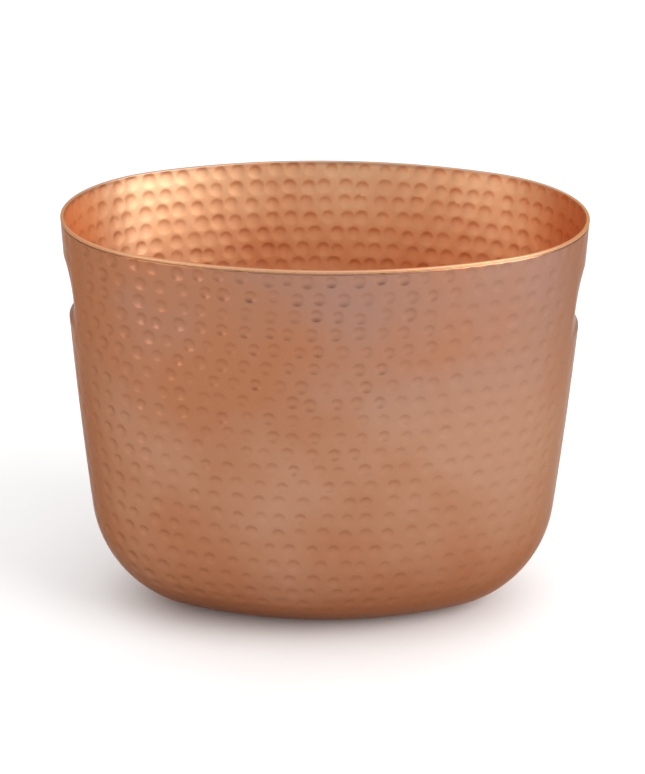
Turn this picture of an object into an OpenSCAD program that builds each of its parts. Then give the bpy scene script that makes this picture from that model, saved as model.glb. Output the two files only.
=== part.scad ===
// Oval ice bucket in hammered copper: two bowls, one inside the other, joined at the rim, with foam
// between them and four small feet underneath. Millimetres, +Z up. The origin is on the table, under
// the middle of the bucket; the long way of the oval runs along X.

/* [Overall] */
// Length over the rim, end to end
length = 300; // [240:5:360]
// Width over the rim, side to side
width = 200; // [170:5:240]
// Height from the table to the top of the rim
height = 240; // [190:5:290]
// How much wider the oval is across its middle than across its round ends, on each side
side_swell = 15; // [10:1:20]

/* [Outer shell] */
// Thickness of the shell's sheet
shell_sheet = 1; // [0.8:0.1:1.6]
// Lean of the shell's wall at the rim, in degrees from upright
shell_lean = 2.5; // [0:0.5:4]
// Radius of the slow bow of the shell's wall, from the rim to the shoulder
shell_bow = 3000; // [2400:100:6000]
// Radius of the shoulder, where the wall turns in towards the base
shell_shoulder = 72; // [50:1:86]
// Radius of the heel, between the shoulder and the flat base
shell_heel = 20; // [10:1:24]

/* [Inner liner] */
// Thickness of the liner's sheet
liner_sheet = 1; // [0.8:0.1:1.6]
// Lean of the liner's wall at the rim, in degrees from upright
liner_entry_lean = 11; // [9:0.5:13]
// Lean of the liner's wall further down, in degrees from upright
liner_lean = 5; // [4:0.5:7]
// Depth over which the liner's wall straightens
liner_entry_depth = 90; // [60:5:120]
// Radius of the liner's shoulder
liner_shoulder = 62; // [40:1:74]
// Radius of the liner's heel
liner_heel = 18; // [8:1:22]
// Space between the shell's floor and the liner's floor
floor_gap = 10; // [6:1:16]

/* [Rim] */
// Thickness of the brazing between the shell's edge and the liner's turned-out edge
seam_thickness = 0.4; // [0.2:0.1:0.8]

/* [Finger grips] */
// Distance from the top of the rim to the deepest line of the left grip
grip_drop_left = 50; // [45:1:65]
// Distance from the top of the rim to the deepest line of the right grip
grip_drop_right = 54; // [45:1:65]
// How far the left grip is pressed in at its middle
grip_depth_left = 4; // [2:0.5:5]
// How far the right grip is pressed in at its middle
grip_depth_right = 3.5; // [2:0.5:5]
// Width of the grips across the ends, for four fingers
grip_width = 68; // [50:2:80]
// Height of the slope above the deepest line
grip_rise = 28; // [20:1:32]
// Height of the ledge below the deepest line, which the fingers hold
grip_ledge = 10; // [6:1:14]

/* [Insulation] */
// Clearance around the foam, to the sheets and between its two pieces
foam_clearance = 0.3; // [0.1:0.1:1]
// Distance from the top of the rim to the top edge of the foam
foam_drop = 28; // [20:1:40]
// Margin between a grip and the edge of the cutout in the foam behind it
foam_cutout_margin = 4; // [2:1:8]

/* [Base] */
// Height of the feet
foot_height = 1.5; // [1:0.1:3]
// Diameter of the feet
foot_diameter = 14; // [8:1:16]
// Distance of the feet from the middle, along the bucket
foot_reach = 45; // [30:1:50]
// Distance from the edge of the flat base to the feet
foot_margin = 2; // [1:0.5:6]
// Diameter of the vent hole in the shell's floor
vent_diameter = 6; // [4:0.5:8]
// Diameter of the vent plug's head
plug_head_diameter = 10; // [9:0.5:12]
// Thickness of the vent plug's head
plug_head_height = 0.8; // [0.5:0.1:0.9]
// Height of the plug's barb, which holds it in from above the shell's floor
plug_barb_height = 1.5; // [1:0.1:2.5]

/* [Hidden] */
$fn = 96;

copper = [0.80, 0.50, 0.36];
bright_copper = [0.90, 0.62, 0.42];
brazing = [0.93, 0.78, 0.58];
foam = [0.92, 0.88, 0.72];
rubber = [0.30, 0.27, 0.25];

// The plan of the rim is an oval of four arcs, each tangent to the next. Every lower outline keeps the
// same four centres, so it lies the same distance inside the rim all round: its inset.
end_radius = width / 2 - side_swell;
end_centre = length / 2 - end_radius;
side_radius = (end_centre ^ 2 + (width / 2) ^ 2 - end_radius ^ 2) / (2 * side_swell);
side_centre = side_radius - width / 2;
join_angle = atan2(side_centre, end_centre);

// Flat facets that draw the oval, on each end and on each side
end_facets = 14;
side_facets = 10;
// Steps that draw a bowl's plain wall, the band of the grips, the shoulder and the heel
wall_steps = 5;
grip_steps = 11;
shoulder_steps = 8;
heel_steps = 3;
// The shoulder hands over to the heel at this angle from upright.
heel_angle = 66;
// How far a cut is drawn past the face that it opens through
past = 5;
// How square the ledge of a grip is: 2 draws it as round as the slope above
ledge_power = 4;
// How much wider the plug's barb is than the vent at its foot, and narrower at its tip
barb_spread = 1.2;
barb_taper = 1;
// Chamfer round the lower edge of the feet
foot_chamfer = 0.5;

plug_barb_diameter = vent_diameter + barb_spread;
shell_bottom = foot_height;
shell_floor = shell_bottom + shell_sheet;
liner_bottom = shell_floor + floor_gap;
liner_floor = liner_bottom + liner_sheet;
liner_edge = height - liner_sheet;
shell_top = liner_edge - seam_thickness;
pad_bottom = shell_floor + foam_clearance;
pad_top = liner_bottom - foam_clearance;
foam_top = height - foam_drop;

// The oval's stations, anticlockwise from the foot of the right end: the centre of the arc, its radius
// at the rim, and the direction from that centre
stations = [
    for (quarter = [0:3])
        let (
            is_end = quarter % 2 == 0,
            facets = is_end ? end_facets : side_facets,
            half = is_end ? join_angle : 90 - join_angle,
            turn = 90 * quarter,
            centre = (is_end ? end_centre : -side_centre) * [cos(turn), sin(turn)]
        )
        for (i = [0:facets - 1])
            [centre, is_end ? end_radius : side_radius, turn - half + 2 * half * i / facets]
];
function on_oval(station, inset) =
    station[0] + (station[1] - inset) * [cos(station[2]), sin(station[2])];

// A bowl's face is a list of [inset, height] points from the rim down. An arc of radius r that turns
// from the angle from0 to the angle to1, both from upright, moves inwards by r * (cos(from0) - cos(to1))
// and down by r * (sin(to1) - sin(from0)). A negative radius straightens the wall instead.
function arc_points(start, r, from0, to1, steps) = [
    for (i = [1:steps])
        let (t = from0 + (to1 - from0) * i / steps)
            [start.x + r * (cos(from0) - cos(t)), start.y - r * (sin(t) - sin(from0))]
];
function last(points) = points[len(points) - 1];
function reversed(points) = [for (i = [len(points) - 1:-1:0]) points[i]];

// How far a face lies inside the rim at a height on its wall
function inset_at(face, z) = lookup(-z, [for (p = face) [-p.y, p.x]]);

// The part of a face between two heights, with an end point on each of them
function cut_face(face, high, low) = concat(
    [[inset_at(face, high), high]],
    [for (p = face) if (p.y < high && p.y > low) p],
    [[low > last(face).y ? inset_at(face, low) : last(face).x, max(low, last(face).y)]]
);

// The grips of the two ends are pressed at their own heights. The band that holds both is drawn finely.
function grip_z(end) = height - (end < 0 ? grip_drop_left : grip_drop_right);
function grip_depth(end) = end < 0 ? grip_depth_left : grip_depth_right;
band_high = max(grip_z(-1), grip_z(1)) + grip_rise;
band_low = min(grip_z(-1), grip_z(1)) - grip_ledge;

// Lean at the foot of the shell's wall, which brings the base to its height
shell_foot_lean = asin(
    (height - shell_bottom + shell_bow * sin(shell_lean)
        - (shell_shoulder - shell_heel) * sin(heel_angle) - shell_heel) / (shell_bow - shell_shoulder)
);

// The shell's face that lies `in` inside its outer one, down to the flat base
function shell_face(in) =
    let (
        rim = [in * cos(shell_lean), height + in * sin(shell_lean)],
        bow = shell_bow - in,
        foot = rim - [0, bow * (sin(shell_foot_lean) - sin(shell_lean))],
        heights = concat(
            [for (i = [0:grip_steps]) band_high + (band_low - band_high) * i / grip_steps],
            [for (i = [1:wall_steps]) band_low + (foot.y - band_low) * i / wall_steps]
        ),
        wall = [
            for (z = heights)
                let (lean = asin(sin(shell_lean) + (rim.y - z) / bow))
                    [rim.x + bow * (cos(shell_lean) - cos(lean)), z]
        ],
        shoulder = arc_points(last(wall), shell_shoulder - in, shell_foot_lean, heel_angle, shoulder_steps),
        heel = arc_points(last(shoulder), shell_heel - in, heel_angle, 90, heel_steps)
    )
    concat([rim], wall, shoulder, heel);

// The radius that straightens the liner's wall over the entry depth, and the height of plain wall that
// is left between there and the shoulder
liner_entry_bow = -liner_entry_depth / (sin(liner_entry_lean) - sin(liner_lean));
liner_plain_wall = height - liner_bottom - liner_entry_depth
    - liner_shoulder * (sin(heel_angle) - sin(liner_lean)) - liner_heel * (1 - sin(heel_angle));

// The liner's face that lies `in` inside its outer one, which meets the shell's inner face at the rim
function liner_face(in) =
    let (
        rim = [shell_sheet + in * cos(liner_entry_lean), height + in * sin(liner_entry_lean)],
        entry = arc_points(rim, liner_entry_bow - in, liner_entry_lean, liner_lean, wall_steps),
        plain_end = last(entry) + liner_plain_wall * [tan(liner_lean), -1],
        shoulder = arc_points(plain_end, liner_shoulder - in, liner_lean, heel_angle, shoulder_steps),
        heel = arc_points(last(shoulder), liner_heel - in, heel_angle, 90, heel_steps)
    )
    concat([rim], entry, [plain_end], shoulder, heel);

// How deep a grip is at a station and a height. It has a long round slope above its deepest line, a
// short and squarer ledge below it, and it runs out evenly to both sides.
function grip(station, z) =
    station[1] > end_radius ? 0 :
        let (
            end = station[0].x > 0 ? 1 : -1,
            across = end_radius * sin(station[2]) / (grip_width / 2),
            up = z - grip_z(end),
            share = up > 0 ? 1 - (up / grip_rise) ^ 2 : 1 - (up / grip_ledge) ^ ledge_power
        )
        grip_depth(end) * max(0, share) * max(0, 1 - across ^ 2);

// Carries a section, a closed list of [inset, height] points, round the oval as one solid. With `floor`
// its first and last points are the edges of two flat faces that fill the oval. The outline is pressed
// in by press(station, height).
module around_oval(section, floor = false, press = function(station, z) 0) {
    n = len(stations);
    rings = len(section);
    points = [
        for (p = section)
            for (s = stations)
                let (q = on_oval(s, p.x + press(s, p.y)))
                    [q.x, q.y, p.y]
    ];
    walls = [
        for (k = [0:rings - (floor ? 2 : 1)])
            for (j = [0:n - 1])
                let (
                    a = k * n + j,
                    b = k * n + (j + 1) % n,
                    c = (k + 1) % rings * n + (j + 1) % n,
                    d = (k + 1) % rings * n + j
                )
                each [[a, c, b], [a, d, c]]
    ];
    caps = floor ? [[for (j = [0:n - 1]) j], [for (j = [n - 1:-1:0]) (rings - 1) * n + j]] : [];
    polyhedron(points, concat(walls, caps));
}

// A block through one end wall that clears the grip by the margin, for the cutout in the foam
module cutout(end) {
    half = grip_width / 2 + foam_cutout_margin;
    mirror([end < 0 ? 1 : 0, 0, 0])
        translate([end_centre, -half, grip_z(end) - grip_ledge - foam_cutout_margin])
            cube([end_radius, 2 * half, grip_ledge + grip_rise + 2 * foam_cutout_margin]);
}

module outer_shell() color(copper)
    difference() {
        around_oval(
            concat(
                reversed(cut_face(shell_face(0), shell_top, shell_bottom)),
                cut_face(shell_face(shell_sheet), shell_top, shell_floor)
            ),
            floor = true,
            press = function(station, z) grip(station, z)
        );
        translate([0, 0, shell_bottom - past]) cylinder(d = vent_diameter, h = 2 * past);
    }

// The liner's top edge is turned out over the shell's edge, flush with the shell's outer face.
module inner_liner() color(bright_copper)
    around_oval(
        concat(
            reversed(cut_face(liner_face(0), liner_edge, liner_bottom)),
            [[0, liner_edge], [0, height]],
            cut_face(liner_face(liner_sheet), height, liner_floor)
        ),
        floor = true
    );

module rim_seam() color(brazing)
    around_oval(concat(
        [[0, shell_top], [0, liner_edge]],
        cut_face(liner_face(0), liner_edge, shell_top)
    ));

module wall_insulation() color(foam)
    difference() {
        around_oval(concat(
            reversed(cut_face(shell_face(shell_sheet + foam_clearance), foam_top, liner_bottom)),
            cut_face(liner_face(-foam_clearance), foam_top, liner_bottom)
        ));
        for (end = [-1, 1]) cutout(end);
    }

module floor_insulation() color(foam)
    difference() {
        around_oval(
            reversed(cut_face(shell_face(shell_sheet + foam_clearance), pad_top, pad_bottom)),
            floor = true
        );
        translate([0, 0, pad_bottom - past])
            cylinder(d = plug_barb_diameter + 2 * foam_clearance, h = past + plug_barb_height);
    }

// The plug is pushed in from below. Its head covers the vent hole.
module vent_plug() color(rubber) {
    translate([0, 0, shell_bottom - plug_head_height])
        cylinder(d = plug_head_diameter, h = plug_head_height);
    translate([0, 0, shell_bottom - plug_head_height])
        cylinder(d = vent_diameter, h = plug_head_height + shell_sheet);
    translate([0, 0, shell_floor])
        cylinder(d1 = plug_barb_diameter, d2 = vent_diameter - barb_taper, h = plug_barb_height);
}

// Feet stand just inside the edge of the flat base.
module foot(along, across) color(rubber) {
    ring = side_radius - last(shell_face(0)).x - foot_margin - foot_diameter / 2;
    y = sqrt(ring ^ 2 - foot_reach ^ 2) - side_centre;
    translate([along * foot_reach, across * y, 0]) {
        cylinder(d1 = foot_diameter - 2 * foot_chamfer, d2 = foot_diameter, h = foot_chamfer);
        translate([0, 0, foot_chamfer])
            cylinder(d = foot_diameter, h = foot_height - foot_chamfer);
    }
}

outer_shell();
inner_liner();
rim_seam();
wall_insulation();
floor_insulation();
vent_plug();
foot(-1, -1);  // foot_front_left
foot(1, -1);  // foot_front_right
foot(-1, 1);  // foot_back_left
foot(1, 1);  // foot_back_right
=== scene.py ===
# %% [markdown]
# # An oval ice bucket in hammered copper
# The real bucket is two copper bowls, one inside the other, brazed together at the rim. Each bowl is
# spun or pressed from sheet and then hammered all over with a round-faced hammer, and a finger grip is
# pressed into each end. This notebook keeps the measured frame as it is, and makes the two bowls again
# as fine meshes, so that every hammer mark is a real hollow that catches the light.

# %% Load the frame
import math
import random

import bmesh
import bpy
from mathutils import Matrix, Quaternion, Vector, kdtree


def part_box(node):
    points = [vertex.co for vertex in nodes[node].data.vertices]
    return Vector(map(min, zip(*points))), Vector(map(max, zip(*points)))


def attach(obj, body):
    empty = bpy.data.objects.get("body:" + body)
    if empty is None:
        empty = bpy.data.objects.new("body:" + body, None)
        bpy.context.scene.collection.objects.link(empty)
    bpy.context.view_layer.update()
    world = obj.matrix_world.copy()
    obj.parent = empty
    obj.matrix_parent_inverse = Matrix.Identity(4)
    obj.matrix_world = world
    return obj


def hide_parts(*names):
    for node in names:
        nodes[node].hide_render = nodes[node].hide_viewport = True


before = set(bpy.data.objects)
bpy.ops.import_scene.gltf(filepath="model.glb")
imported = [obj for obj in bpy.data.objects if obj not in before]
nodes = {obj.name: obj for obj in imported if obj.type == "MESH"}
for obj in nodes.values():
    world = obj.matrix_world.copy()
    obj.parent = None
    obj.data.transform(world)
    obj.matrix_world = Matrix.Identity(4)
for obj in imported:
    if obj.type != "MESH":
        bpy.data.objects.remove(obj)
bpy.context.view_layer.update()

# %% [markdown]
# ## Sizes
# The overall sizes come from the frame. The shape of the section, which a box can't tell, is given
# here in millimetres: how far the walls lean, and the radii of the shoulder and the heel.

# %% Sizes of the plan
MM = 0.001
rim_low, rim_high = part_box("inner_liner")
shell_low, shell_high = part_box("outer_shell")
LENGTH = rim_high.x - rim_low.x
WIDTH = rim_high.y - rim_low.y
TOP = rim_high.z
SHEET = 1 * MM
SIDE_SWELL = 15 * MM

# The plan is an oval of four arcs. Every lower outline keeps the same four centres.
END_RADIUS = WIDTH / 2 - SIDE_SWELL
END_CENTRE = LENGTH / 2 - END_RADIUS
SIDE_RADIUS = (END_CENTRE**2 + (WIDTH / 2) ** 2 - END_RADIUS**2) / (2 * SIDE_SWELL)
SIDE_CENTRE = SIDE_RADIUS - WIDTH / 2
JOIN = math.atan2(SIDE_CENTRE, END_CENTRE)
print(f"{LENGTH / MM:.0f} x {WIDTH / MM:.0f} x {TOP / MM:.0f} mm")
print(f"the arcs join at {math.degrees(JOIN):.1f} degrees")

# A quarter of the oval is two arcs, from the middle of the right end to the middle of the back: the
# centre of each arc, its radius, and how far it turns.
QUARTER = [
    (Vector((END_CENTRE, 0, 0)), END_RADIUS, JOIN),
    (Vector((0, -SIDE_CENTRE, 0)), SIDE_RADIUS, math.pi / 2 - JOIN),
]

# %% [markdown]
# ## Drawing a section
# A wall of sheet metal is a chain of arcs, each tangent to the next. The spin operator draws them:
# it carries one vertex round a centre and leaves edges behind it. The angle used below is the wall's
# lean from upright. At 0 the wall faces outwards, at 90 it faces down, and at -90 it faces up.

# %% Bend a section, and carry it round
FINE = 1.55 * MM  # spacing of the mesh on a face that shows
COARSE = 16 * MM  # and on a face between the bowls


def facing(lean):
    """The direction that the outside of a wall faces, for its lean in degrees."""
    return Vector((math.cos(math.radians(lean)), 0, -math.sin(math.radians(lean))))


def bend(bm, tip, radius, lean, to_lean, spacing):
    """Carry the section's tip round an arc between two leans. Gives back the new tip."""
    turn = math.radians(to_lean - lean)
    steps = max(1, round(abs(radius * turn) / spacing))
    made = bmesh.ops.spin(bm, geom=[tip], cent=tip.co - radius * facing(lean), axis=(0, 1, 0),
                          angle=turn, steps=steps)
    return next(g for g in made["geom_last"] if isinstance(g, bmesh.types.BMVert))


def run(bm, tip, step, spacing):
    """Carry the section's tip along a straight line. Gives back the new tip."""
    count = max(1, round(step.length / spacing))
    for _ in range(count):
        made = bmesh.ops.extrude_vert_indiv(bm, verts=[tip])
        tip = made["verts"][0]
        bmesh.ops.translate(bm, verts=[tip], vec=step / count)
    return tip


def carry_round(bm, spacing):
    """Spin the section about the centres of a quarter, and mirror the quarter twice."""
    geom = bm.verts[:] + bm.edges[:]
    for centre, radius, turn in QUARTER:
        made = bmesh.ops.spin(bm, geom=geom, cent=centre, axis=(0, 0, 1), angle=turn,
                              steps=round(radius * turn / spacing))
        geom = made["geom_last"]
    for axis in "XY":
        bmesh.ops.mirror(bm, geom=bm.verts[:] + bm.edges[:] + bm.faces[:], merge_dist=0, axis=axis)
        bmesh.ops.remove_doubles(bm, verts=bm.verts[:], dist=0.01 * MM)


def open_loop(bm, height):
    """The edges of the hole that is left at a height."""
    return [e for e in bm.edges if e.is_boundary
            and all(abs(v.co.z - height) < 0.02 * MM for v in e.verts)]


def close_mesh(bm):
    """Point the faces outwards and shade them smooth."""
    bmesh.ops.recalc_face_normals(bm, faces=bm.faces[:])
    for face in bm.faces:
        face.smooth = True
    bm.normal_update()


def make_piece(bm, name, material, node):
    """Turn a finished bmesh into a piece that stands for a node of the frame."""
    mesh = bpy.data.meshes.new(name)
    bm.to_mesh(mesh)
    bm.free()
    piece = bpy.data.objects.new(name, mesh)
    bpy.context.scene.collection.objects.link(piece)
    mesh.materials.append(material)
    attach(piece, "root")
    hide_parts(node)
    triangles = sum(len(p.vertices) - 2 for p in mesh.polygons)
    print(f"{name}: {triangles} triangles")
    return piece


# %% [markdown]
# ## Colours and nodes
# Colours are picked as sRGB hex values, and the shader works with linear light, so one function
# turns one into the other. Another adds a node with its settings and its links.

# %% Helpers for materials
def linear(hex_colour):
    """An sRGB hex colour as linear RGBA."""
    parts = [int(hex_colour[i:i + 2], 16) / 255 for i in (1, 3, 5)]
    return [c / 12.92 if c <= 0.04045 else ((c + 0.055) / 1.055) ** 2.4 for c in parts] + [1]


def add(tree, kind, settings=None, **inputs):
    """Add a node. Settings are its properties; inputs are sockets, given a value or an output."""
    node = tree.nodes.new(kind)
    for key, value in (settings or {}).items():
        setattr(node, key, value)
    for key, value in inputs.items():
        key = key.replace("_", " ")
        socket = node.inputs[int(key)] if key.isdigit() else node.inputs[key]
        if isinstance(value, bpy.types.NodeSocket):
            tree.links.new(value, socket)
        else:
            socket.default_value = value
    return node


def new_material(name):
    """A material with an empty node tree, its output and its object coordinates."""
    material = bpy.data.materials.new(name)
    material.use_nodes = True
    tree = material.node_tree
    tree.nodes.clear()
    output = add(tree, "ShaderNodeOutputMaterial")
    place = add(tree, "ShaderNodeTexCoord").outputs["Object"]
    return material, tree, output, place


# %% [markdown]
# ## Hammered copper
# Copper sheet, planished with a polished hammer, rubbed to a satin and lacquered. To the eye that is
# a warm pink-brown metal with a broad soft gloss. Shade is painted into the hollows, most of all
# under the upper edge of each mark, where the sheet faces down. The hollows are in the
# mesh, which carries where each point lies in its mark, and how hard the mark was struck.

# %% Where the copper has aged, and where shade is painted
CLOUD = 90 * MM  # how far apart the darker patches are
LOW = 80 * MM  # below this height more patches are painted, as painted shade
PATCH_FROM, PATCH_TO = 0.42, 0.72  # cut of the cloud that makes a patch


def aged_and_shaded_patches(tree, place, spot, shade_bias, shaded_end):
    """Soft patches of aged copper, painted more often low down and towards the shaded end, -1 or 1, as
    painted shade.
    """
    cloud = add(tree, "ShaderNodeTexNoise", Vector=place, Scale=1 / CLOUD, Detail=3.0)
    # More patches are painted towards one end and low down, as painted shade.
    along = add(tree, "ShaderNodeMapRange", Value=spot.outputs["X"], From_Min=shaded_end * LENGTH / 2,
                From_Max=shaded_end * -60 * MM, To_Min=shade_bias, To_Max=0.0)
    low = add(tree, "ShaderNodeMapRange", Value=spot.outputs["Z"], From_Min=0.0, From_Max=LOW,
              To_Min=shade_bias, To_Max=0.0)
    bias = add(tree, "ShaderNodeMath", {"operation": "ADD"},
               **{"0": along.outputs["Result"], "1": low.outputs["Result"]})
    patch_level = add(tree, "ShaderNodeMath", {"operation": "ADD"},
               **{"0": cloud.outputs["Fac"], "1": bias.outputs[0]})
    return add(tree, "ShaderNodeMapRange", Value=patch_level.outputs[0], From_Min=PATCH_FROM,
               From_Max=PATCH_TO).outputs["Result"]


print("patches of older copper about", round(CLOUD / MM), "mm apart")

# %% How a mark shows
ARC_FAINT, ARC_STRONG = 0.7, 4.0  # painted shade all round a mark, and more under its upper edge


def marks_on(tree):
    """The depth of the marks, from 0 to 1, and where shade is painted in them."""
    mark = add(tree, "ShaderNodeAttribute", {"attribute_name": "mark"}).outputs["Vector"]
    force = add(tree, "ShaderNodeAttribute", {"attribute_name": "force"}).outputs["Fac"]
    away = add(tree, "ShaderNodeVectorMath", {"operation": "DOT_PRODUCT"}, **{"0": mark, "1": mark})
    cap = add(tree, "ShaderNodeMath", {"operation": "SUBTRACT", "use_clamp": True},
              **{"0": 1.0, "1": away.outputs["Value"]})
    depth = add(tree, "ShaderNodeMath", {"operation": "MULTIPLY"}, **{"0": cap.outputs[0], "1": force})
    band = add(tree, "ShaderNodeMath", {"operation": "MULTIPLY"},
               **{"0": cap.outputs[0], "1": away.outputs["Value"]})
    rise = add(tree, "ShaderNodeSeparateXYZ", Vector=mark).outputs["Z"]
    upper = add(tree, "ShaderNodeMapRange", Value=rise, From_Min=0.0, From_Max=0.6,
                To_Min=ARC_FAINT, To_Max=ARC_STRONG)
    arc = add(tree, "ShaderNodeMath", {"operation": "MULTIPLY"},
              **{"0": band.outputs[0], "1": upper.outputs["Result"]})
    arc_shade = add(tree, "ShaderNodeMath", {"operation": "MULTIPLY"}, **{"0": arc.outputs[0], "1": force})
    return depth.outputs[0], arc_shade.outputs[0]


# Painted shade under the upper edge of a mark, against that round it.
print("old polish under the upper edge of a mark:", ARC_STRONG / ARC_FAINT, "times that round it")

# %% [markdown]
# The rubbing of a polishing cloth runs up and down the wall, so its noise is stretched that way. Real
# rubbing marks are finer than a tenth of a millimetre and would not show, so they are drawn coarser.

# %% The copper of the outside and of the inside
RUBBING = 1.8 * MM
GRAIN, GRAIN_RISE = 1.4 * MM, 0.006 * MM


def hammered_copper(name, ridge, top_shade, top_shade_heights, aged_and_shaded, mark_shade, roughness, crisp, shade_bias, shaded_end, edge):
    """Satin copper.

    The ridge colour turns to a darker top colour, painted shade, between two heights, and both turn to
    the aged colour, with painted shade, in patches. The colour laid over the marks is painted shade, and
    crisp is how far their edges stand out. The shade bias is how much more the low parts and the shaded
    end are patched, as painted shade.
    """
    material, tree, output, place = new_material(name)
    spot = add(tree, "ShaderNodeSeparateXYZ", Vector=place)
    tone = add(tree, "ShaderNodeMix", {"data_type": "RGBA"})
    # Aged patches, with painted shade low down and at one end.
    tree.links.new(aged_and_shaded_patches(tree, place, spot, shade_bias, shaded_end), tone.inputs[0])
    # Painted shade: the colour darkens towards the top.
    top_shade_mask = add(tree, "ShaderNodeMapRange", {"interpolation_type": "SMOOTHSTEP"},
                Value=spot.outputs["Z"], From_Min=top_shade_heights[0], From_Max=top_shade_heights[1])
    body = add(tree, "ShaderNodeMix", {"data_type": "RGBA"})
    tree.links.new(top_shade_mask.outputs["Result"], body.inputs[0])
    body.inputs[6].default_value = linear(ridge)
    body.inputs[7].default_value = linear(top_shade)
    tree.links.new(body.outputs[2], tone.inputs[6])
    tone.inputs[7].default_value = linear(aged_and_shaded)
    # Painted shade in the marks, strongest under their upper edges.
    depth, arc_shade = marks_on(tree)
    colour = add(tree, "ShaderNodeMix", {"data_type": "RGBA", "blend_type": "MULTIPLY"})
    tree.links.new(arc_shade, colour.inputs[0])
    tree.links.new(tone.outputs[2], colour.inputs[6])
    colour.inputs[7].default_value = linear(mark_shade)
    edges = add(tree, "ShaderNodeBump", {"invert": True}, Height=depth, Strength=1.0, Distance=crisp)
    upright = add(tree, "ShaderNodeMapping", Vector=place, Scale=(1.0, 1.0, 0.04))
    rubbing = add(tree, "ShaderNodeTexNoise", Vector=upright.outputs["Vector"], Scale=1 / RUBBING,
                  Detail=2.0)
    rough = add(tree, "ShaderNodeMapRange", Value=rubbing.outputs["Fac"], From_Min=0.3, From_Max=0.7,
                To_Min=roughness - 0.02, To_Max=roughness + 0.03)
    grain = add(tree, "ShaderNodeTexNoise", Vector=place, Scale=1 / GRAIN, Detail=2.0)
    bump = add(tree, "ShaderNodeBump", Height=grain.outputs["Fac"], Strength=0.35,
               Distance=GRAIN_RISE, Normal=edges.outputs["Normal"])
    shader = add(tree, "ShaderNodeBsdfPrincipled", Base_Color=colour.outputs[2], Metallic=1.0,
                 Roughness=rough.outputs["Result"], Specular_Tint=linear(edge),
                 Normal=bump.outputs["Normal"])
    tree.links.new(shader.outputs["BSDF"], output.inputs["Surface"])
    return material


# Outside: painted darker from 110 mm up, as painted shade, and with more aged patches painted at the left
# end and low down, as painted shade.
outer_copper = hammered_copper(
    "satin_hammered_copper", ridge="#A87D64", top_shade="#987262", top_shade_heights=(110 * MM, 225 * MM),
    aged_and_shaded="#A06A4C", mark_shade="#F1E8E2", roughness=0.3, crisp=0.34 * MM, shade_bias=0.2, shaded_end=-1,
    edge="#D8C6BC")
# Inside: a brighter, softer and more golden copy of the copper, partly painted light, with the lip of the
# rim darker and more patches at the right end and low down.
inner_copper = hammered_copper(
    "golden_copper_painted_bright", ridge="#EEC29A", top_shade="#C89A7A", top_shade_heights=(237 * MM, 239 * MM),
    aged_and_shaded="#DC9F73", mark_shade="#E9D2C0", roughness=0.44, crisp=0.1 * MM, shade_bias=0.16, shaded_end=1,
    edge="#F0D0B4")
print("made", outer_copper.name, "and", inner_copper.name)

# %% [markdown]
# ## Hammer marks
# A planished sheet has its marks in courses: the smith goes round the bowl, striking at an even step,
# then starts the next course a little lower, and mostly between the marks above. Nothing is exact, so
# each mark is moved, sized and driven by a seeded random draw. Courses are laid out by real distance
# along the section and along the oval, and a tree of their centres finds the marks near each vertex.

# %% Points along the oval
def round_oval(inset, share):
    """The point of the oval `inset` inside the rim, at a share of the way round it."""
    quarter = int(share * 4)
    share = share * 4 - quarter
    if quarter % 2:
        share = 1 - share
    distance = share * girth(inset) / 4
    angle = 0
    for centre, radius, turn in QUARTER:
        reach = radius - inset
        if distance <= reach * turn:
            break
        distance -= reach * turn
        angle += turn
    angle += distance / reach
    point = centre + Vector((math.cos(angle), math.sin(angle), 0)) * reach
    return Vector((point.x * (-1 if quarter in (1, 2) else 1), point.y * (-1 if quarter > 1 else 1), 0))


def girth(inset):
    """The length of the oval `inset` inside the rim."""
    return 4 * sum(turn * (radius - inset) for _, radius, turn in QUARTER)


print("girth of the rim", round(girth(0) / MM), "mm")

# %% Lay out the courses
def lay_courses(section, first, course_step, mark_step, radii, depths, draw):
    """Centres of the marks on a face. The section is a list of (inset, height) points from the rim."""
    marks = []
    walked, due = 0, first
    for (inset, z), (next_inset, next_z) in zip(section, section[1:]):
        length = math.hypot(next_inset - inset, next_z - z)
        while due <= walked + length:
            share = (due - walked) / length
            here = inset + (next_inset - inset) * share
            height = z + (next_z - z) * share
            count = max(1, round(girth(here) / mark_step))
            step = girth(here) / count
            offset = draw.uniform(0.35, 0.65) * step * (len(marks) % 2) + draw.uniform(0, 0.3) * step
            for i in range(count):
                distance = offset + (i + draw.gauss(0, 0.08)) * step
                point = round_oval(here, distance / girth(here) % 1)
                point.z = height + draw.gauss(0, 0.045) * course_step
                marks.append((point, draw.uniform(*radii), draw.uniform(*depths)))
            due += course_step * draw.uniform(0.96, 1.04)
        walked += length
    return marks


# %% [markdown]
# A mark is a shallow bowl: deepest in the middle, and gone at its edge. Striking moves the vertices,
# so the hollow is part of the shape. Beside that, each face keeps where it lies in its nearest mark.

# %% Strike the marks
def smooth(value, low, high):
    """0 below low, 1 above high, and an even curve between them."""
    share = min(1, max(0, (value - low) / (high - low)))
    return share * share * (3 - 2 * share)


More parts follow.
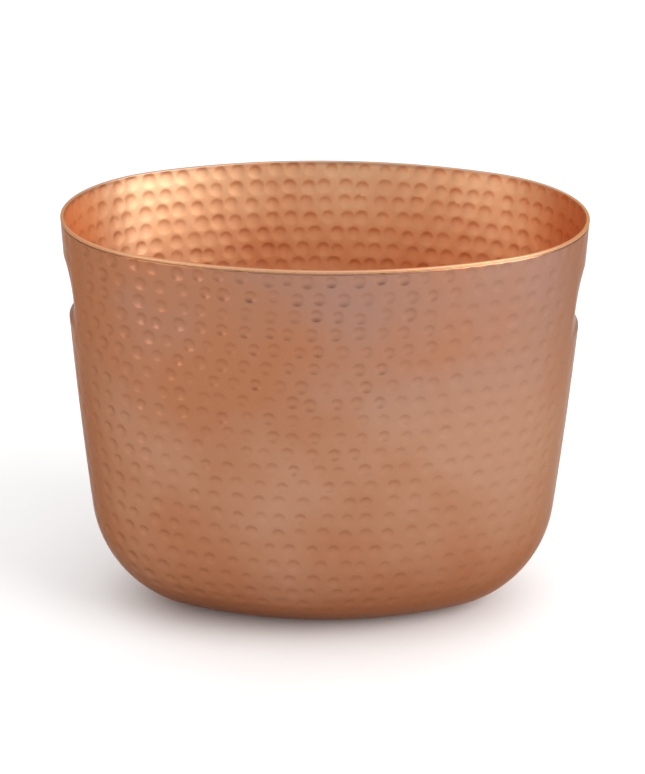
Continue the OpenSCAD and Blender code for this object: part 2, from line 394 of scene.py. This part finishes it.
def strike(bm, faces, marks, fade):
    """Press the marks into some faces, along their normals.

    Each corner of a face keeps how far it is from the middle of the face's nearest mark, in radii of
    that mark, and how hard the mark was struck, so that a material can draw the mark's edge sharply.
    """
    tree = kdtree.KDTree(len(marks))
    for i, (point, _, _) in enumerate(marks):
        tree.insert(point, i)
    tree.balance()
    reach = max(radius for _, radius, _ in marks)
    hardest = max(depth for _, _, depth in marks)
    for face in faces:
        point, i, _ = tree.find(face.calc_center_median())
        _, radius, depth = marks[i]
        force = fade(point) * depth / hardest
        for loop in face.loops:
            loop[bm.loops.layers.float_vector["mark"]] = (loop.vert.co - point) / radius
            loop[bm.loops.layers.float["force"]] = force
    moves = []
    for vert in {v for face in faces for v in face.verts}:
        depth = 0
        for point, i, distance in tree.find_range(vert.co, reach):
            _, radius, deep = marks[i]
            if distance < radius:
                depth = max(depth, (1 - (distance / radius) ** 2) * deep * fade(point))
        moves.append((vert, vert.normal * depth))
    for vert, move in moves:
        vert.co -= move
    print(f"{len(marks)} marks, deepest {max(m.length for _, m in moves) / MM:.2f} mm")


def start_marks(bm):
    """Make room for what strike() keeps, and set it to bare metal."""
    bm.loops.layers.float_vector.new("mark")
    bm.loops.layers.float.new("force")


# %% [markdown]
# ## Outer shell
# The shell's wall is nearly upright and bows out very slightly. A big shoulder turns it in, and a
# tighter heel takes it into the flat base. The section is drawn from the top edge down the outside,
# and again down the inside, and carried round the oval. The base is closed round the vent hole.

# %% Section of the outer shell
SHELL_TOP = shell_high.z
SHELL_BOTTOM = shell_low.z
SHELL_LEAN, SHELL_BOW = 2.5, 3000 * MM
SHELL_SHOULDER, SHELL_HEEL, HEEL_LEAN = 72 * MM, 20 * MM, 66
VENT_RADIUS = 3 * MM


def sine(degrees):
    """The sine of an angle in degrees."""
    return math.sin(math.radians(degrees))


# The lean at the foot of the wall is the one that makes the whole section as tall as the shell.
SHELL_FOOT = math.degrees(math.asin(
    (TOP - SHELL_BOTTOM + SHELL_BOW * sine(SHELL_LEAN)
     - (SHELL_SHOULDER - SHELL_HEEL) * sine(HEEL_LEAN) - SHELL_HEEL) / (SHELL_BOW - SHELL_SHOULDER)))
print(f"the wall leans {SHELL_LEAN} degrees at the rim and {SHELL_FOOT:.1f} at its foot")


# %% Draw the shell's section
def shell_start(depth):
    """The shell's top edge, `depth` into the sheet, and the lean of the wall there."""
    bow = SHELL_BOW - depth
    centre = Vector((LENGTH / 2, 0, TOP)) - SHELL_BOW * facing(SHELL_LEAN)
    lean = math.degrees(math.asin((centre.z - SHELL_TOP) / bow))
    return centre + bow * facing(lean), lean


def draw_shell_face(bm, depth, spacing):
    """One face of the shell's sheet, from the top edge to the flat base."""
    start, lean = shell_start(depth)
    first = bm.verts.new(start)
    tip = bend(bm, first, SHELL_BOW - depth, lean, SHELL_FOOT, spacing)
    tip = bend(bm, tip, SHELL_SHOULDER - depth, SHELL_FOOT, HEEL_LEAN, spacing)
    tip = bend(bm, tip, SHELL_HEEL - depth, HEEL_LEAN, 90, spacing)
    return first, tip


def section_points(bm):
    """The section drawn so far, as (inset, height) points from the rim down."""
    return sorted(((LENGTH / 2 - v.co.x, v.co.z) for v in bm.verts), key=lambda p: (p[0], -p[1]))


shell = bmesh.new()
outer_edge, _ = draw_shell_face(shell, 0, FINE)
shell_section = section_points(shell)
inner_edge, _ = draw_shell_face(shell, SHEET, COARSE)
shell.edges.new((outer_edge, inner_edge))
print("points down the outside:", len(shell_section))

# %% Carry the shell round, and close its base round the vent
VENT_SEGMENTS = 48
carry_round(shell, FINE)
for height in (SHELL_BOTTOM, SHELL_BOTTOM + SHEET):
    vent = bmesh.ops.create_circle(shell, segments=VENT_SEGMENTS, radius=VENT_RADIUS)["verts"]
    bmesh.ops.translate(shell, verts=vent, vec=(0, 0, height))
    vent_edges = list({e for v in vent for e in v.link_edges})
    base_edges = open_loop(shell, height)
    bmesh.ops.triangle_fill(shell, edges=vent_edges + base_edges, use_beauty=True)
vent_walls = [e for e in shell.edges if e.is_boundary]
bmesh.ops.bridge_loops(shell, edges=vent_walls)
close_mesh(shell)
print("open edges:", sum(not e.is_manifold for e in shell.edges))

# %% [markdown]
# ## Finger grips
# A grip is pressed over a rounded former: a long slope above its deepest line leads the fingers in, and a
# short ledge below it holds them. Both faces of the sheet move, straight in towards the middle of
# the end. The grips of the two ends are at their own heights.

# %% Press the grips
GRIP_DROP = {-1: 50 * MM, 1: 54 * MM}
GRIP_DEPTH = {-1: 4 * MM, 1: 3.5 * MM}
GRIP_HALF, GRIP_RISE, GRIP_LEDGE = 34 * MM, 28 * MM, 10 * MM


def grip_depth(point):
    """How far a grip presses a point of the wall in."""
    if abs(point.x) < END_CENTRE:
        return 0
    end = 1 if point.x > 0 else -1
    up = point.z - (TOP - GRIP_DROP[end])
    share = 1 - (up / GRIP_RISE) ** 2 if up > 0 else 1 - (up / GRIP_LEDGE) ** 4
    return GRIP_DEPTH[end] * max(0, share) * max(0, 1 - (point.y / GRIP_HALF) ** 2)


def press_grip(point):
    """Move a point of the wall straight in towards the middle of its end."""
    centre = Vector((math.copysign(END_CENTRE, point.x), 0, point.z))
    point += (centre - point).normalized() * grip_depth(point)


for vert in shell.verts:
    press_grip(vert.co)
shell.normal_update()
print("grips pressed", {end: round(depth / MM, 1) for end, depth in GRIP_DEPTH.items()}, "mm deep")

# %% [markdown]
# The marks go right round, and are lighter in the grips, under the rim and over the shoulder, where
# the stake behind the sheet is narrow and the smith strikes more softly.

# %% How hard the outside is struck
OUTER_COURSE, OUTER_STEP = 10.4 * MM, 12.4 * MM
OUTER_RADII, OUTER_DEPTHS = (3.5 * MM, 4.4 * MM), (0.28 * MM, 0.5 * MM)
draw = random.Random(7)


def turn_from_end(point):
    """How far round from the middle of the nearer end a point is, in degrees."""
    return abs(math.degrees(math.atan2(point.y, abs(point.x) - END_CENTRE * 0.6)))


def outside_fade(point):
    """How hard the outside was struck at a point."""
    turn = turn_from_end(point)
    ends = 0.6 + 0.4 * smooth(turn, 12, 40)
    rim = smooth(TOP - point.z, 1.2 * MM, 3 * MM)
    heel = smooth(point.z, 4 * MM, 60 * MM)
    lighter = 1 - 0.5 * smooth(point.x, 0, 110 * MM)
    pressed = max(grip_depth(point + Vector((0, 0, rise))) for rise in (-4 * MM, 0, 4 * MM))
    grip = 1 - 0.85 * smooth(pressed, 0, 1 * MM)
    return ends * rim * lighter * grip * (0.25 + 0.75 * heel)


print("courses", round(OUTER_COURSE / MM, 1), "mm apart, marks", round(OUTER_STEP / MM, 1), "mm")

# %% Strike the outside
start_marks(shell)
shell_marks = lay_courses(shell_section, 4.2 * MM, OUTER_COURSE, OUTER_STEP, OUTER_RADII,
                          OUTER_DEPTHS, draw)
for point, _, _ in shell_marks:
    press_grip(point)
outside = [f for f in shell.faces if f.normal.dot(Vector((*f.calc_center_median().xy, -0.05))) > 0
           and f.calc_center_median().z > SHELL_BOTTOM + 0.1 * MM]
strike(shell, outside, shell_marks, outside_fade)
shell.normal_update()
make_piece(shell, "hammered_shell", outer_copper, "outer_shell")

# %% [markdown]
# ## Inner liner
# The liner starts at the turned-out edge that is the bucket's rim. Its lip is rounded and polished
# bright by use. Inside, the wall slopes in and then straightens, so ice never jams against it.

# %% Section of the liner
LINER_BOTTOM = rim_low.z
LIP_ROUND = 0.75 * MM
LIP_SPACING = 0.2 * MM
LINER_SPACING = 1.75 * MM  # round the oval, coarser than the shell's, to keep the piece light
ENTRY_LEAN, LINER_LEAN, ENTRY_DEPTH = 11, 5, 90 * MM
LINER_SHOULDER, LINER_HEEL = 62 * MM, 18 * MM
ENTRY_BOW = -ENTRY_DEPTH / (sine(ENTRY_LEAN) - sine(LINER_LEAN))
PLAIN_WALL = (TOP - LINER_BOTTOM - ENTRY_DEPTH
              - LINER_SHOULDER * (sine(HEEL_LEAN) - sine(LINER_LEAN)) - LINER_HEEL * (1 - sine(HEEL_LEAN)))


print(f"{PLAIN_WALL / MM:.1f} mm of straight wall between the bow and the shoulder")


# %% Draw the liner's section
def draw_liner_face(bm, tip, depth, spacing, entry_start):
    """One face of the liner's sheet, from the tip at the rim to the flat floor."""
    tip = bend(bm, tip, ENTRY_BOW - depth, entry_start, LINER_LEAN, spacing)
    tip = run(bm, tip, Vector((-math.tan(math.radians(LINER_LEAN)), 0, -1)) * PLAIN_WALL, spacing)
    tip = bend(bm, tip, LINER_SHOULDER - depth, LINER_LEAN, HEEL_LEAN, spacing)
    return bend(bm, tip, LINER_HEEL - depth, HEEL_LEAN, 90, spacing)


def liner_start(depth, height):
    """A point at a height on a face of the liner, and the lean of the wall there."""
    bow = ENTRY_BOW - depth
    centre = Vector((LENGTH / 2 - SHEET, 0, TOP)) - ENTRY_BOW * facing(ENTRY_LEAN)
    lean = math.degrees(math.asin((centre.z - height) / bow))
    return centre + bow * facing(lean), lean


liner = bmesh.new()
inside_start, inside_lean = liner_start(SHEET, TOP - LIP_ROUND * (1 - sine(ENTRY_LEAN)))
inside_top = liner.verts.new(inside_start)
draw_liner_face(liner, inside_top, SHEET, FINE, inside_lean)
liner_section = section_points(liner)
lip = bend(liner, inside_top, LIP_ROUND, -180 + inside_lean, -90, LIP_SPACING)
lip = run(liner, lip, Vector((LENGTH / 2 - LIP_ROUND - lip.co.x, 0, 0)), 0.5 * MM)
lip = bend(liner, lip, LIP_ROUND, -90, 0, LIP_SPACING)
lip = run(liner, lip, Vector((0, 0, TOP - SHEET - lip.co.z)), SHEET)
outside_start, outside_lean = liner_start(0, TOP - SHEET)
lip = run(liner, lip, outside_start - lip.co, SHEET)
draw_liner_face(liner, lip, 0, COARSE, outside_lean)
carry_round(liner, LINER_SPACING)
print("floor of the liner at", round((LINER_BOTTOM + SHEET) / MM, 2), "mm")

# %% [markdown]
# The floor inside is hammered too, so it needs its own rings: the edge of the floor is extruded and
# drawn in, over and over, until a last small face closes it.

# %% Floor of the liner
FLOOR_RINGS = 24
ring = open_loop(liner, LINER_BOTTOM + SHEET)
for i in range(FLOOR_RINGS):
    made = bmesh.ops.extrude_edge_only(liner, edges=ring)["geom"]
    ring = [g for g in made if isinstance(g, bmesh.types.BMEdge)]
    verts = [g for g in made if isinstance(g, bmesh.types.BMVert)]
    shrink = (FLOOR_RINGS - i - 0.5) / (FLOOR_RINGS - i + 0.5)
    bmesh.ops.scale(liner, verts=verts, vec=(shrink, shrink, 1))
bmesh.ops.contextual_create(liner, geom=ring)
bmesh.ops.contextual_create(liner, geom=open_loop(liner, LINER_BOTTOM))
close_mesh(liner)
print("open edges:", sum(not e.is_manifold for e in liner.edges))

# %% [markdown]
# The inside is struck more lightly and with a flatter hammer, so its marks are wide and shallow. The
# floor has straight rows instead of courses, because the smith can only reach it along the bucket.

# %% How hard the inside is struck
INNER_COURSE, INNER_STEP = 9.7 * MM, 11.2 * MM
INNER_RADII, INNER_DEPTHS = (4.2 * MM, 5.1 * MM), (0.1 * MM, 0.17 * MM)
FLOOR_DEPTHS = (0.12 * MM, 0.17 * MM)
FLOOR_ROWS, FLOOR_MARKS = 9, 13  # to either side of the middle
FLOOR_MARGIN = 3 * MM
draw = random.Random(11)


def inside_fade(point):
    """How hard the inside was struck at a point."""
    rim = smooth(TOP - point.z, 1.5 * MM, 4 * MM)
    return rim * (0.6 + 0.4 * smooth(turn_from_end(point), 8, 35))


def within(point, inset):
    """Whether a point of the plan is further in than an inset from the rim."""
    x, y = abs(point.x), abs(point.y)
    if math.atan2(y, x - END_CENTRE) < JOIN:
        return math.hypot(x - END_CENTRE, y) < END_RADIUS - inset
    return math.hypot(x, y + SIDE_CENTRE) < SIDE_RADIUS - inset


print("courses", round(INNER_COURSE / MM, 1), "mm apart, marks", round(INNER_STEP / MM, 1), "mm")

# %% Strike the inside
start_marks(liner)
liner_marks = lay_courses(liner_section, 4.4 * MM, INNER_COURSE, INNER_STEP, INNER_RADII,
                          INNER_DEPTHS, draw)
floor_inset, floor_height = liner_section[-1]
for row in range(-FLOOR_ROWS, FLOOR_ROWS + 1):
    for i in range(-FLOOR_MARKS, FLOOR_MARKS + 1):
        point = Vector(((i + row % 2 / 2) * INNER_STEP + draw.gauss(0, 0.7 * MM),
                        row * INNER_COURSE + draw.gauss(0, 0.4 * MM), floor_height))
        if within(point, floor_inset + FLOOR_MARGIN):
            liner_marks.append((point, draw.uniform(*INNER_RADII), draw.uniform(*FLOOR_DEPTHS)))
inside = [f for f in liner.faces if f.calc_center_median().z < TOP - 1.2 * MM
          and f.normal.dot(Vector((*-f.calc_center_median().xy, 0.05))) > 0]
strike(liner, inside, liner_marks, inside_fade)
liner.normal_update()
make_piece(liner, "hammered_liner", inner_copper, "inner_liner")

# %% [markdown]
# ## Rim seam
# The two bowls are brazed together just under the liner's turned-out edge. The brazing is filed and
# polished level with the shell, and shows as a thin paler line all round.

# %% A material that wanders between two colours
def textured(name, dark, pale, grain, rise, roughness, metallic, cells=False):
    """A material that wanders between two colours, with a grain that is felt as well as seen."""
    material, tree, output, place = new_material(name)
    if cells:
        pattern = add(tree, "ShaderNodeTexVoronoi", Vector=place, Scale=1 / grain).outputs["Distance"]
    else:
        pattern = add(tree, "ShaderNodeTexNoise", Vector=place, Scale=1 / grain, Detail=4.0).outputs["Fac"]
    tone = add(tree, "ShaderNodeMix", {"data_type": "RGBA"})
    spread = add(tree, "ShaderNodeMapRange", Value=pattern, From_Min=0.25, From_Max=0.75)
    tree.links.new(spread.outputs["Result"], tone.inputs[0])
    tone.inputs[6].default_value = linear(dark)
    tone.inputs[7].default_value = linear(pale)
    rough = add(tree, "ShaderNodeMapRange", Value=pattern, From_Min=0.25, From_Max=0.75,
                To_Min=roughness - 0.05, To_Max=roughness + 0.05)
    bump = add(tree, "ShaderNodeBump", Height=pattern, Strength=0.6, Distance=rise)
    shader = add(tree, "ShaderNodeBsdfPrincipled", Base_Color=tone.outputs[2], Metallic=metallic,
                 Roughness=rough.outputs["Result"], Normal=bump.outputs["Normal"])
    tree.links.new(shader.outputs["BSDF"], output.inputs["Surface"])
    return material


# %% Seam between the bowls
# Brass-coloured filler, filed along its length and polished with the rim.
brazing = textured("polished_brazing", "#B98A5E", "#D6AC7C", 2.5 * MM, 0.02 * MM, 0.32, 1.0)
seam_low, seam_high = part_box("rim_seam")
seam = bmesh.new()
outline = ((0.02 * MM, seam_high.z), (0.04 * MM, seam_low.z), (0.95 * MM, seam_low.z),
           (0.95 * MM, seam_high.z))
corners = [seam.verts.new((LENGTH / 2 - inset, 0, z)) for inset, z in outline]
for here, there in zip(corners, corners[1:] + corners[:1]):
    seam.edges.new((here, there))
carry_round(seam, 1.6 * MM)
close_mesh(seam)
make_piece(seam, "brazed_seam", brazing, "rim_seam")
print("seam from", round(seam_low.z / MM, 2), "to", round(seam_high.z / MM, 2), "mm")

# %% [markdown]
# ## Feet, plug and foam
# These keep the frame's own meshes. The feet and the vent plug are soft black rubber with a fine
# moulded grain, and the insulation is a pale foam cut from sheet, with its cells showing.

# %% Materials of the carried-over parts
rubber = textured("moulded_rubber", "#1D1B1A", "#2B2927", 0.8 * MM, 0.03 * MM, 0.62, 0.0)
foam = textured("closed_cell_foam", "#D9D0B4", "#EFEAD8", 1.4 * MM, 0.15 * MM, 0.85, 0.0, cells=True)
for name, node in nodes.items():
    if name not in ("outer_shell", "inner_liner", "rim_seam"):
        node.data.materials.clear()
        node.data.materials.append(foam if "insulation" in name else rubber)
        print(name, "is", node.data.materials[0].name)

# %% [markdown]
# ## Floor
# A big pale floor, so that no edge of it shows, and the copper has something light to reflect.

# %% Floor
FLOOR_HALF = 6
stage_mesh = bmesh.new()
bmesh.ops.create_grid(stage_mesh, x_segments=1, y_segments=1, size=FLOOR_HALF)
mesh = bpy.data.meshes.new("floor")
stage_mesh.to_mesh(mesh)
stage_mesh.free()
floor = bpy.data.objects.new("floor", mesh)
bpy.context.scene.collection.objects.link(floor)
pale = textured("pale_floor", "#F1F1F1", "#F3F3F3", 60 * MM, 0.01 * MM, 0.9, 0.0)
mesh.materials.append(pale)
print("floor", 2 * FLOOR_HALF, "m square")

# %% [markdown]
# ## Light
# Copper shows what is around it. A pale dome that is brighter overhead gives the broad soft gloss and
# the even background. A low softbox at the left front lights one side of each mark, and a bigger one
# at the right front lights the wall and the far side of the inside.

# %% Light
HORIZON, ZENITH = 0.32, 1.3
world = bpy.data.worlds.new("soft_studio")
world.use_nodes = True
sky = world.node_tree
direction = add(sky, "ShaderNodeTexCoord").outputs["Generated"]
height = add(sky, "ShaderNodeSeparateXYZ", Vector=direction).outputs["Z"]
dome = add(sky, "ShaderNodeMapRange", {"interpolation_type": "SMOOTHSTEP"}, Value=height,
           From_Min=0.0, From_Max=0.75, To_Min=HORIZON, To_Max=ZENITH)
sky.nodes["Background"].inputs["Color"].default_value = (1, 1, 1, 1)
sky.links.new(dome.outputs["Result"], sky.nodes["Background"].inputs["Strength"])
bpy.context.scene.world = world


def softbox(name, place, aim, size, watts):
    """A square soft light at a place, turned to a point."""
    light = bpy.data.lights.new(name, "AREA")
    light.size = size
    light.energy = watts
    box = bpy.data.objects.new(name, light)
    bpy.context.scene.collection.objects.link(box)
    box.location = place
    box.rotation_euler = (Vector(aim) - Vector(place)).to_track_quat("-Z", "Y").to_euler()


softbox("front_left_softbox", (-1.3, -1.1, 0.4), (0, 0, 0.2), 0.8, 4)
softbox("front_right_softbox", (1.5, -0.95, 1.1), (0, 0, 0.15), 1.3, 28)

print("dome from", HORIZON, "at the horizon to", ZENITH, "overhead")

# %% [markdown]
# ## Camera
# It looks slightly down into the bucket through a long lens, so the oval is hardly distorted.

# %% Camera
TARGET = Vector((-0.0008, 0, 0.1325))
DISTANCE = 1.3964
pitch, turn, roll = math.radians(22.4437), math.radians(-0.5057), math.radians(0.4275)
back = Vector((math.sin(turn) * math.cos(pitch), -math.cos(turn) * math.cos(pitch), math.sin(pitch)))
camera_data = bpy.data.cameras.new("camera")
camera_data.lens = 111.03
camera = bpy.data.objects.new("camera", camera_data)
bpy.context.scene.collection.objects.link(camera)
camera.location = TARGET + back * DISTANCE
camera.rotation_mode = "QUATERNION"
camera.rotation_quaternion = (-back).to_track_quat("-Z", "Y") @ Quaternion((0, 0, 1), roll)
bpy.context.scene.camera = camera
bpy.context.scene.view_settings.view_transform = "Standard"
print("camera", round(DISTANCE, 2), "m away, looking down", round(math.degrees(pitch), 1), "degrees")
